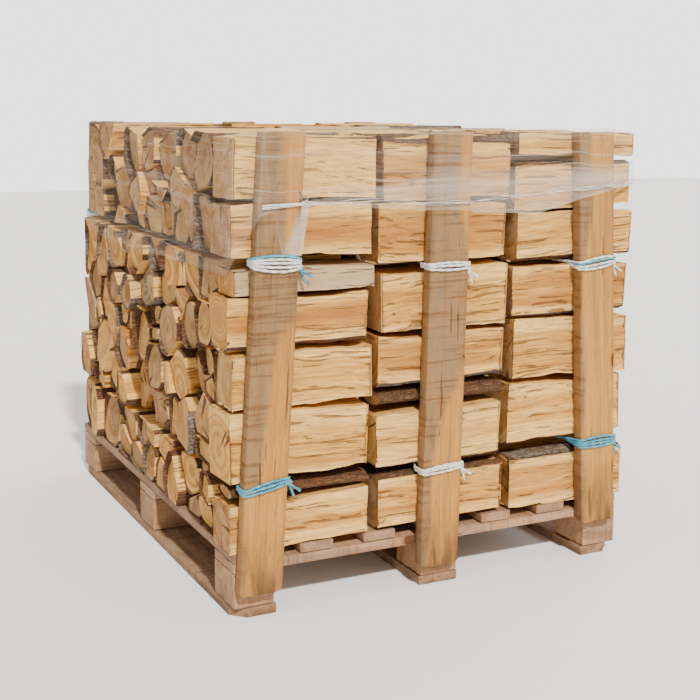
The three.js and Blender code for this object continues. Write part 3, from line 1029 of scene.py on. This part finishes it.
def worn_board(name, material, along, look, lean=lambda at: 0.0, chip=0.004):
    """look gives (tone, weathered, dirt and painted shade) at a point and its place across;
    lean is the sideways place of the board's middle at a point."""
    low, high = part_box(name)
    axes = board_axes(low, high, along)
    shift = luck.uniform(0, 40)
    bm = bmesh.new()
    bm.from_mesh(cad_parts[name].data)
    bmesh.ops.remove_doubles(bm, verts=bm.verts, dist=1e-5)
    bmesh.ops.dissolve_limit(bm, angle_limit=0.02, verts=bm.verts, edges=bm.edges)
    bmesh.ops.bevel(
        bm, geom=bm.edges[:], offset=EDGE_ROUND, segments=2, profile=0.5, affect="EDGES", material=-1
    )
    slice_at(bm, axes[0], steps_between(low[axes[0]], high[axes[0]], 0.013))
    slice_at(bm, axes[1], steps_between(low[axes[1]], high[axes[1]], 0.0095))
    grain = bm.verts.layers.float_vector.new("grain")
    board = bm.verts.layers.float_color.new("board")
    middle = (low + high) / 2
    bm.normal_update()
    moves = []
    for vert in bm.verts:
        at = vert.co
        across = at[axes[1]] - middle[axes[1]] - lean(at)
        deep = at[axes[2]] - middle[axes[2]]
        vert[grain] = (at[axes[0]] + shift, across, deep + (shift % 1) * 0.2)
        vert[board] = (*look(at, across), 1.0)
        slow = noise_at(at.x * 7, at.y * 7, at.z * 7 + shift)
        quick = noise_at(at.x * 60, at.y * 60, at.z * 60 + shift)
        move = -vert.normal * (0.0012 * (0.5 + 0.5 * slow) + 0.0006 * (0.5 + 0.5 * quick))
        to_end = min(at[axes[0]] - low[axes[0]], high[axes[0]] - at[axes[0]])
        if to_end < 0.004:
            broken = noise_at(across * 70, deep * 70, shift)
            sign = 1 if at[axes[0]] < middle[axes[0]] else -1
            move[axes[0]] += sign * chip * max(0.0, broken)
        moves.append(move)
    for vert, move in zip(bm.verts, moves):
        vert.co += move
    shade(bm, 0.6)
    return finish_piece(bm, f"board_{name}", [name], [material])


print("board shaping ready")

# %% [markdown]
# ## Pallet
# The pallet is pale softwood, pinkish where it is dry and dirty near the ground. Its deck
# boards are darker, as painted shade of the logs that lie on them. Blocks and stringers have
# their grain across the front, runners and deck boards theirs along the stack.

# %% Pallet
# the deck boards' darkening is painted shade of the logs on them; the rest is dirt
DECK_SHADE = 0.45
OTHER_DIRT = 0.06
SPLASHED_TO = 0.05  # height that dirt from the ground reaches


def pallet_look(name):
    tone = luck.uniform(0.0, 0.5) + (0.35 if name.startswith("block") else 0.0)
    age = luck.uniform(0.25, 0.7)
    least = DECK_SHADE if name.startswith("deck_board_") else OTHER_DIRT

    def look(at, across):
        low_down = max(0.0, 1.0 - at.z / SPLASHED_TO)
        blotch = noise_at(at.x * 9, at.y * 9, at.z * 30 + tone * 9)
        return tone, min(1.0, max(0.0, age + 0.4 * blotch)), min(1.0, 0.75 * low_down + least)

    return look


X, Y, Z = 0, 1, 2
PALLET = {"runner_": Y, "block_": X, "stringer_": X, "deck_board_": Y}
pallet = [
    worn_board(name, pallet_wood, PALLET[kind], pallet_look(name))
    for kind in PALLET
    for name in sorted(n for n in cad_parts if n.startswith(kind))
]
print("pallet boards:", len(pallet), "with", sum(map(triangles, pallet)), "triangles")

# %% [markdown]
# ## Uprights
# Six rough boards lean by up to three degrees. Weather has turned part of each one grey-brown,
# and the rest is still golden. For each, a short list says how much of its width is weathered,
# from its left edge, at a few heights. Each board is darker towards its foot.

# %% Uprights
UPRIGHT_WIDTH = 0.098
DARK_FOOT = 0.15  # how far up from its foot an upright is dark
# each pair is a height and the weathered share of the width there
WEATHERED = {
    "front_left": ((0.0, 0.0), (0.27, 0.0), (0.31, 0.42), (0.5, 0.5), (0.6, 0.7), (0.66, 1.1),
                   (0.74, 1.1), (0.78, 0.7), (1.03, 0.62)),
    "front_middle": ((0.0, 0.2), (0.3, 0.2), (0.42, 0.6), (0.52, 1.1), (0.74, 1.1), (0.85, 0.8),
                     (1.03, 0.75)),
    "front_right": ((0.0, 0.1), (0.5, 0.12), (0.7, 0.2), (0.86, 0.42), (1.03, 0.36)),
    "back_left": ((0.0, 0.3), (0.5, 0.8), (1.03, 1.1)),
    "back_middle": ((0.0, 0.0), (0.4, 0.5), (0.8, 0.35), (1.03, 0.5)),
    "back_right": ((0.0, 1.1), (0.3, 0.6), (1.03, 0.2)),
}


def middle_line(name):
    """The sideways place of an upright's middle at a height, read off its solid."""
    verts = [v.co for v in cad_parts[name].data.vertices]
    low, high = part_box(name)
    top = [v.x for v in verts if v.z > high.z - 1e-4]
    foot = [v.x for v in verts if v.z < low.z + 1e-4]
    foot_x, top_x = (min(foot) + max(foot)) / 2, (min(top) + max(top)) / 2
    return lambda z: foot_x + (top_x - foot_x) * (z - low.z) / (high.z - low.z)


def upright_look(side):
    heights, shares = zip(*WEATHERED[side])
    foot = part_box(f"upright_{side}")[0].z
    tone = luck.uniform(0.2, 0.6)

    def look(at, across):
        share = float(np.interp(at.z, heights, shares))
        ragged = 0.14 * noise_at(across * 40, at.y, at.z * 7 + tone * 30)
        inside = (share + ragged - (across / UPRIGHT_WIDTH + 0.5)) / 0.12
        if abs(across) > UPRIGHT_WIDTH / 2 - 0.006:
            inside = max(inside, 0.45 + 2 * ragged)  # the sides are darkened everywhere: painted shade of the side faces
        foot_dark = max(0.0, 1.0 - (at.z - foot) / DARK_FOOT) ** 0.7
        return tone + 0.5 * share, min(1.0, max(0.0, inside)), min(1.0, foot_dark + ragged * foot_dark)

    return look


middle_of = {side: middle_line(f"upright_{side}") for side in WEATHERED}


def upright(side):
    name = f"upright_{side}"
    low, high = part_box(name)
    middle = (low.x + high.x) / 2
    return worn_board(
        name, upright_wood, Z, upright_look(side),
        lean=lambda at: middle_of[side](at.z) - middle, chip=0.007,
    )


uprights = [upright(side) for side in WEATHERED]
print("uprights:", len(uprights), "with", sum(map(triangles, uprights)), "triangles")

# %% [markdown]
# ## Twine
# Baler twine is two plies of split plastic film, twisted. It goes several times round the
# front upright, through the stack between two courses of logs, and round the back upright.
# Each ply is a curve that winds round its strand where it can be seen, and one plain strand
# stands for both inside the stack. The curves are given a thickness and then made a mesh.

# %% Twine finish
def make_twine(name, light, dark):
    material, tree, shader = new_material(name, 0.42, 0.5)
    where = add(tree, "TexCoord", output="Object")
    hair = fuzz(tree, stretched(tree, where, (30.0, 180.0, 900.0)), 1.0, 3.0)
    patch = fuzz(tree, where, 45.0, 2.0)
    color = mix(tree, ramp(tree, hair, 0.35, 0.65), dark, light)
    color = mix(tree, ramp(tree, patch, 0.55, 0.75, 0.0, 0.35), color, (0.45, 0.38, 0.3, 1))
    tree.links.new(color, shader.inputs["Base Color"])
    tree.links.new(bump(tree, hair, 0.6, 0.001), shader.inputs["Normal"])
    return material


TWINE_COLORS = (
    make_twine("twine_blue", (0.085, 0.42, 0.54, 1), (0.02, 0.16, 0.23, 1)),
    make_twine("twine_white", (0.86, 0.84, 0.80, 1), (0.50, 0.48, 0.45, 1)),
)
print("twine finishes:", [m.name for m in TWINE_COLORS])

# %% [markdown]
# ## Curves with a thickness
# Twine and the rolled-up edge of the film are both drawn as lines of points, which become
# curves with a thickness and then meshes.

# %% Curve helpers
def spaced(points, step):
    """Even steps along a line of points."""
    points = np.array(points)
    lengths = np.concatenate(([0], np.cumsum(np.linalg.norm(np.diff(points, axis=0), axis=1))))
    stations = np.linspace(0, lengths[-1], max(2, round(lengths[-1] / step) + 1))
    return np.stack([np.interp(stations, lengths, points[:, k]) for k in range(3)], 1), stations


def softened(points, rounds):
    """Rounds the corners of a line of points."""
    for _ in range(rounds):
        middle = (points[:-2] + 2 * points[1:-1] + points[2:]) / 4
        points = np.concatenate((points[:1], middle, points[-1:]))
    return points


def new_curve(name, depth, resolution, materials=()):
    """An empty curve that will be given a thickness."""
    curve = bpy.data.curves.new(name, "CURVE")
    curve.dimensions = "3D"
    curve.bevel_depth = depth
    curve.bevel_resolution = resolution
    curve.use_fill_caps = True
    for material in materials:
        curve.materials.append(material)
    return curve


def curve_mesh(curve):
    """The curve's surface as a bmesh."""
    holder = bpy.data.objects.new(f"curve_{curve.name}", curve)
    mesh = bpy.data.meshes.new_from_object(holder)
    bpy.data.objects.remove(holder)
    bm = bmesh.new()
    bm.from_mesh(mesh)
    bpy.data.meshes.remove(mesh)
    return bm


def add_spline(curve, points, color, radius=1.0):
    spline = curve.splines.new("POLY")
    spline.points.add(len(points) - 1)
    for point, at, thick in zip(spline.points, points, np.broadcast_to(radius, len(points))):
        point.co = (*at, 1.0)
        point.radius = thick
    spline.material_index = color
    spline.use_smooth = True


print("curve helpers ready")

# %% [markdown]
# ## Strands
# Each tie is several strands side by side on the face of the front upright. They draw
# together behind it, run through the stack in one seam and open out again round the back
# upright. A knot with two loose ends is tied at the front upright's right edge.

# %% Strands
PLY = 0.0022  # radius of one ply
TWIST = 0.0011  # how far a ply lies from its strand's middle
PITCH = 0.042  # length of one turn of a ply
FINE = 0.0035  # step along a ply that is seen
STRAND_GAP = 0.0072  # from strand to strand on the face of an upright
KNOT = 0.0075  # size of a knot
IN_FROM_ENDS = {"left": 0.034, "middle": 0.0, "right": -0.034}  # how far in the strands run


def around_upright(row, end, z, lift, rise, inside):
    """The way of one strand from inside the stack round an upright and back in."""
    sign = -1 if end == "front" else 1
    x = middle_of[f"{end}_{row}"](z)
    low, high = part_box(f"upright_{end}_{row}")
    face = low.y if end == "front" else high.y
    back = high.y if end == "front" else low.y
    half, clear = UPRIGHT_WIDTH / 2, PLY + TWIST
    deep = back - sign * 0.07
    bow = 0.35 * lift
    first, last = x + IN_FROM_ENDS[row] - inside, x + IN_FROM_ENDS[row] + inside
    return [
        (first, deep, z), (first, deep + sign * 0.02, z),
        (x - half - clear, back - sign * 0.006, z + bow - rise / 4),
        (x - half - clear, back, z + bow - rise / 4),
        (x - half - clear, face, z + 0.7 * lift - rise / 2),
        (x - half, face + sign * clear, z + 0.75 * lift - rise / 2),
        (x - half / 3, face + sign * clear, z + 1.05 * lift - rise / 6),
        (x + half / 3, face + sign * clear, z + 1.1 * lift + rise / 6),
        (x + half, face + sign * clear, z + 0.7 * lift + rise / 2),
        (x + half + clear, face, z + 0.65 * lift + rise / 2),
        (x + half + clear, back, z + bow + rise / 4),
        (x + half + clear, back - sign * 0.006, z + bow + rise / 4),
        (last, deep + sign * 0.02, z), (last, deep, z),
    ]


def add_plies(curve, way, color, phase):
    """Two plies wound round a line of points."""
    middle, stations = spaced(way, FINE)
    middle = softened(middle, 3)
    heading = np.gradient(middle, axis=0)
    heading /= np.linalg.norm(heading, axis=1, keepdims=True)
    side = np.cross(heading, (0, 0, 1.0))
    side /= np.linalg.norm(side, axis=1, keepdims=True)
    up = np.cross(side, heading)
    for ply in (0, math.pi):
        turn = (2 * math.pi * stations / PITCH + phase + ply)[:, None]
        add_spline(curve, middle + TWIST * (side * np.cos(turn) + up * np.sin(turn)), color)


def knot_way(at, size):
    """An overhand knot with two tails to its right, as a line of points."""
    t = np.linspace(0, 2 * math.pi, 40)
    loop = np.stack([
        np.sin(t) + 2 * np.sin(2 * t), -np.sin(3 * t) * 1.3, np.cos(t) - 2 * np.cos(2 * t)
    ], 1) * size / 3
    tail = np.linspace(0, 1, 12)[:, None]
    first = loop[:1] + tail[::-1] * np.array((0.012, -0.003, -0.030))
    last = loop[-1:] + tail * np.array((0.026, -0.004, -0.018))
    return np.concatenate((first, loop, last)) + np.array(at)


print("strands ready, of plies", PLY, "m in radius")

# %% [markdown]
# ## Tying the uprights
# The list says how many strands each tie has and of which colour. A tie whose right end is
# higher or lower crosses its front upright on a slant.

# %% Ties
BLUE, WHITE = 0, 1
PLAIN = 1.5  # thickness of the plain strand inside the stack, in plies
# name: (colour of each strand from the bottom up, how much higher the right end is)
TIES = {
    "left_lower": ((BLUE, BLUE, BLUE), 0.018),
    "left_upper": ((WHITE, WHITE, WHITE, WHITE, BLUE), -0.004),
    "middle_lower": ((WHITE, WHITE, WHITE), 0.008),
    "middle_upper": ((WHITE, WHITE, WHITE), 0.0),
    "right_lower": ((BLUE, BLUE, BLUE, BLUE), 0.003),
    "right_upper": ((WHITE, WHITE, BLUE, WHITE), 0.012),
}


def make_tie(name):
    row, level = name.split("_")
    z = tie_height(row, level)
    colors, rise = TIES[name]
    curve = new_curve(name, PLY, 1, TWINE_COLORS)
    for k, color in enumerate(colors):
        lift = (k - (len(colors) - 1) / 2) * STRAND_GAP
        inside = 0.013 + 0.0056 * k
        ends = {}
        for end in ("front", "back"):
            wave = luck.uniform(-0.0015, 0.0015)
            way = around_upright(row, end, z, lift + wave, rise if end == "front" else 0.0, inside)
            add_plies(curve, way, color, luck.uniform(0, 6))
            ends[end] = (way[0], way[-1])
        for side in (0, 1):
            add_spline(curve, [ends["front"][side], ends["back"][side]], color, PLAIN)
    x = middle_of[f"front_{row}"](z)
    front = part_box(f"upright_front_{row}")[0].y
    knot_at = (x + UPRIGHT_WIDTH / 2 + 0.010, front + 0.022, z - 0.012 + rise / 2)
    add_plies(curve, knot_way(knot_at, KNOT), colors[-1], 0.0)
    bm = curve_mesh(curve)
    bmesh.ops.recalc_face_normals(bm, faces=bm.faces)
    return finish_piece(bm, f"tie_{name}", [f"twine_{name}"], TWINE_COLORS)


ties = [make_tie(name) for name in TIES]
print("ties:", len(ties), "with", sum(map(triangles, ties)), "triangles")

# %% [markdown]
# ## Stretch film
# Film is wound round the top of the stack. It touches only what stands out, so its outline
# is the straight-sided loop round the rows and the uprights. The film is clear: what shows
# is the haze of its layers, level streaks where it is stretched, upright folds, and the
# bunched lower edge. So the finish is mostly a matter of how see-through each part is.

# %% Film finish
def make_film():
    material, tree, shader = new_material("stretch_film", 0.3, 0.45)
    shader.inputs["Base Color"].default_value = (0.84, 0.75, 0.63, 1)
    place = add(tree, "UVMap", uv_map="film")
    around, height = parts(tree, "XYZ", place)[:2]
    marks = add(tree, "Attribute", attribute_name="haze")
    haze, layers = parts(tree, "Color", marks)[:2]
    sway = fuzz(tree, stretched(tree, place, (3.0, 3.0, 1.0)), 1.0, 2.0)
    level = math_node(tree, "MULTIPLY_ADD", sway, 0.06, height)
    line = add(tree, "CombineXYZ", [(0, around), (1, level)])
    fine = fuzz(tree, stretched(tree, line, (1.6, 250.0, 1.0)), 1.0, 3.0, 0.65)
    broad = fuzz(tree, stretched(tree, line, (1.1, 46.0, 1.0)), 1.0, 3.0, 0.6)
    upright_folds = fuzz(tree, stretched(tree, place, (70.0, 7.0, 1.0)), 1.0, 3.0, 0.6, 1.2)
    streaks = ramp(tree, fine, 0.54, 0.72, 0.0, 0.34)
    bands = ramp(tree, broad, 0.5, 0.74, 0.0, 0.10)
    folds = ramp(tree, upright_folds, 0.62, 0.8, 0.0, 0.12)
    alpha = math_node(tree, "ADD", math_node(tree, "ADD", streaks, bands), folds)
    alpha = times(tree, alpha, layers)
    alpha = math_node(tree, "MULTIPLY_ADD", haze, 0.5, alpha)
    alpha = math_node(tree, "ADD", alpha, 0.025)
    tree.links.new(math_node(tree, "MINIMUM", alpha, 0.95), shader.inputs["Alpha"])
    relief = math_node(tree, "MULTIPLY_ADD", broad, 0.8, fine)
    relief = math_node(tree, "MULTIPLY_ADD", upright_folds, 0.6, relief)
    tree.links.new(bump(tree, relief, 0.8, 0.004), shader.inputs["Normal"])
    return material


film_finish = make_film()
print("film:", len(film_finish.node_tree.nodes), "nodes")

# %% [markdown]
# ## Where the film runs
# Seen from above, the film is a loop of straight lines from corner to corner. Its lower edge
# is at a different height on each side, because it was wound on by hand.

# %% Film outline
SIDE_X = 0.5165
ROW_END = 0.602  # the front and back ends of the rows
HALF_OUT = UPRIGHT_WIDTH / 2 + 0.0005
MID_FILM = 0.95  # the height at which the uprights' leans are taken
FRONT_FILM = 0.6345  # the film's distance from the middle, over the uprights' faces
film_corners = [
    (-SIDE_X, -ROW_END), (middle_of["front_left"](MID_FILM) - HALF_OUT, -FRONT_FILM),
    (middle_of["front_right"](MID_FILM) + HALF_OUT, -FRONT_FILM), (SIDE_X, -ROW_END),
    (SIDE_X, ROW_END), (middle_of["back_right"](MID_FILM) + HALF_OUT, FRONT_FILM),
    (middle_of["back_left"](MID_FILM) - HALF_OUT, FRONT_FILM), (PULLED_IN - SIDE_X, ROW_END),
]
outline, way_round = spaced([(*c, 0.0) for c in film_corners + film_corners[:1]], 0.0085)
outline, way_round = outline[:-1, :2], way_round[:-1]
lengths = np.linalg.norm(np.diff(np.array(film_corners + film_corners[:1]), axis=0), axis=1)
PERIMETER = float(lengths.sum())
corner_at = np.concatenate(([0.0], np.cumsum(lengths)))
post_right = corner_at[1] + 2 * HALF_OUT  # right edge of the first upright
FLAP_END = tie_height("left", "upper") + 0.012  # a flap hangs down to the twine there
ROPE_AT = 0.876
ROPE_WAY = (  # the height of the rolled-up edge at some places along the front
    (corner_at[1] + 0.004, ROPE_AT - 0.003), (post_right, ROPE_AT + 0.002),
    (corner_at[1] + 0.5, 0.868), (corner_at[2], 0.899), (corner_at[3] - 0.01, 0.904),
)
FAN_WAY = (  # how far over the rolled-up edge its milky folds reach
    (post_right, 0.004), (post_right + 0.36, 0.075), (corner_at[2] - 0.1, 0.055),
    (corner_at[3], 0.022),
)
FILM_EDGE = (  # the height of the lower edge at some places on the way round
    (corner_at[0], 0.735), (corner_at[1], 0.855), (post_right - 0.066, 0.862),
    (post_right - 0.054, FLAP_END), (post_right - 0.003, FLAP_END), (post_right + 0.004, 0.872),
    (corner_at[1] + 0.45, 0.856), (corner_at[1] + 0.66, 0.838), (corner_at[2], 0.892),
    (corner_at[3], 0.898), (corner_at[4] - 0.3, 0.86), (corner_at[5], 0.822),
    (corner_at[6], 0.815), (corner_at[7], 0.76), (corner_at[7] + 0.25, 0.712),
    (corner_at[8], 0.735),
)
print("film outline:", round(PERIMETER, 3), "m round")

# %% [markdown]
# ## The film itself
# Stretch film is one long strip wound round several times, but its layers cling together,
# so one sheet stands for all of them. A flat grid is wrapped round the outline, joined to
# itself and folded over the top in a narrow lip. A colour on each point says how milky the
# film is there: over the rolled-up edge, and in the flap that hangs down to the twine.

# %% Film sheet
FILM_TOP = 1.0295
RINGS = 30
LIP_RINGS = 3
LIP = 0.040


def film_edge(along):
    heights = np.interp(along, *zip(*FILM_EDGE))
    return heights + 0.0015 * np.sin(along * 11) + 0.001 * np.sin(along * 37 + 1)


def film_haze(along, z, edge):
    """Extra milkiness: the lower band, the flap over the first upright, the fan of folds to
    its right, and the doubled layers at the edges and corners."""
    over_edge = z - edge
    front = corner_at[1] < along < corner_at[3]
    band = math.exp(-((over_edge - 0.03) / 0.03) ** 2)
    share = min(1.0, max(0.0, (along - corner_at[1] - 0.25) / 0.5)) if front else 0.12
    down = (ROPE_AT - z) / (ROPE_AT - FLAP_END)
    into_flap = along - (post_right - 0.004 - 0.046 * down)
    on_flap = -0.008 < into_flap and along < post_right + 0.006 and 0.0 < down
    flap = min(1.0, (into_flap + 0.008) / 0.014) if on_flap else 0.0
    rise = (z - np.interp(along, *zip(*ROPE_WAY))) / np.interp(along, *zip(*FAN_WAY))
    on_fan = post_right < along < corner_at[3] and 0.0 < rise < 1.0
    fan = 0.42 * math.sin(math.pi * rise) ** 0.5 * (0.5 + 0.5 * rise) if on_fan else 0.0
    hem = math.exp(-(over_edge / 0.007) ** 2) * (0.3 if front else 0.08)
    corner = math.exp(-(min(abs(along - c) for c in corner_at) / 0.01) ** 2) * 0.06
    top = math.exp(-((z - FILM_TOP) / 0.010) ** 2) * 0.16
    return min(1.0, float(0.45 * band * share + 0.6 * flap + fan + hem + corner + top))


def make_film_sheet():
    """A grid wrapped round the outline and welded to itself, with its top rings as a lip."""
    count, rows = len(outline), RINGS + LIP_RINGS
    bm = bmesh.new()
    bmesh.ops.create_grid(bm, x_segments=count, y_segments=rows, size=1.0)
    uv = bm.loops.layers.uv.new("film")
    haze = bm.verts.layers.float_color.new("haze")
    inwards = -outline / np.linalg.norm(outline, axis=1, keepdims=True)
    stations = {}
    for vert in bm.verts:
        k = round((vert.co.x + 1) / 2 * count)
        row = round((vert.co.y + 1) / 2 * rows)
        along = PERIMETER * k / count
        k %= count
        edge = float(film_edge(along % PERIMETER))
        fold = max(0, row - RINGS) / LIP_RINGS
        top = FILM_TOP - (0.0 if corner_at[1] < along < corner_at[2] else 0.004)
        z = edge + (top - edge) * min(1.0, row / RINGS) + 0.0012 * fold
        place = Vector((along % PERIMETER, z, 0))
        ripple = noise_at(place.x * 2.5, 0, z * 60)
        ripple += 0.6 * noise_at(place.x * 16, 3, z * 18)
        x, y = outline[k] + inwards[k] * (0.0016 * (1 + ripple) + LIP * fold)
        vert.co = (x, y, z)
        milky = film_haze(along % PERIMETER, z, edge) * (1 - 0.4 * fold)
        layers = 1.0 if corner_at[1] < along < corner_at[3] else 0.8
        if z < ROPE_AT - 0.012 and post_right - 0.075 < along < post_right + 0.01:
            layers = min(1.0, 2 * milky)
        vert[haze] = (milky, layers, 0.0, 1.0)
        stations[vert] = along
    for face in bm.faces:
        face.smooth = True
        for loop in face.loops:
            loop[uv].uv = (stations[loop.vert], loop.vert.co.z)
    bmesh.ops.remove_doubles(bm, verts=bm.verts, dist=1e-5)
    bmesh.ops.recalc_face_normals(bm, faces=bm.faces)
    return bm


film_mesh = make_film_sheet()
film_area = sum(f.calc_area() for f in film_mesh.faces)
film = finish_piece(film_mesh, "film", ["stretch_film"], [film_finish])
print("film:", triangles(film), "triangles,", round(film_area, 3), "square metres")

# %% [markdown]
# ## The bunched edge of the film
# Along the front, the lower edge has rolled up into a thin white rope, tightest at the first
# upright and at the right corner. Five thin strands wind round each other along that edge.
# They gather in a knot at the first upright and fan out to its right.

# %% Bunched edge
def make_film_rope():
    material, tree, shader = new_material("film_rope", 0.3, 0.5)
    where = add(tree, "TexCoord", output="Object")
    crease = fuzz(tree, stretched(tree, where, (14.0, 14.0, 420.0)), 1.0, 3.0)
    color = mix(tree, ramp(tree, crease, 0.35, 0.65), (0.55, 0.52, 0.50, 1), (0.92, 0.91, 0.90, 1))
    tree.links.new(color, shader.inputs["Base Color"])
    tree.links.new(ramp(tree, crease, 0.3, 0.6, 0.5, 0.92), shader.inputs["Alpha"])
    tree.links.new(bump(tree, crease, 0.7, 0.002), shader.inputs["Normal"])
    return material


ROLL_STRANDS = 5


def make_film_roll():
    start, stop = corner_at[1] + 0.004, corner_at[3] - 0.01
    along = np.arange(start, stop, 0.005)
    x, y = (np.interp(along, way_round, outline[:, k]) for k in (0, 1))
    height = np.interp(along, *zip(*ROPE_WAY))
    thick = np.interp(
        along,
        (start, post_right - 0.03, post_right + 0.03, post_right + 0.2, corner_at[2] - 0.12, stop),
        (0.0034, 0.0030, 0.0014, 0.0005, 0.0008, 0.0026),
    )
    knot = np.exp(-(((along - post_right - 0.002) / 0.007) ** 2)) * 0.0045
    corner = np.exp(-(((along - corner_at[2]) / 0.010) ** 2)) * 0.0025
    curve = new_curve("film_roll", 0.001, 2)
    for strand in range(ROLL_STRANDS):
        angle = strand * 2 * math.pi / ROLL_STRANDS + along * 55
        uneven = np.array([noise_at(a * 9, 0.3, strand * 5.0) for a in along])
        reach = thick + knot + corner + 0.0012 * uneven
        fanned = np.interp(along, (post_right, post_right + 0.15, corner_at[2], stop), (0, 1, 0.8, 0))
        way = np.stack(
            (
                x, y - 0.0005 + 0.5 * reach * np.cos(angle),
                height + reach * np.sin(angle) + fanned * 0.016 * (0.12 * strand + 0.5 * uneven),
            ), 1
        )
        add_spline(curve, way, 0, 0.10 + 560 * thick)
    return finish_piece(curve_mesh(curve), "film_roll", [], [film_rope])


film_rope = make_film_rope()
film_roll = make_film_roll()
print("film roll:", triangles(film_roll), "triangles")
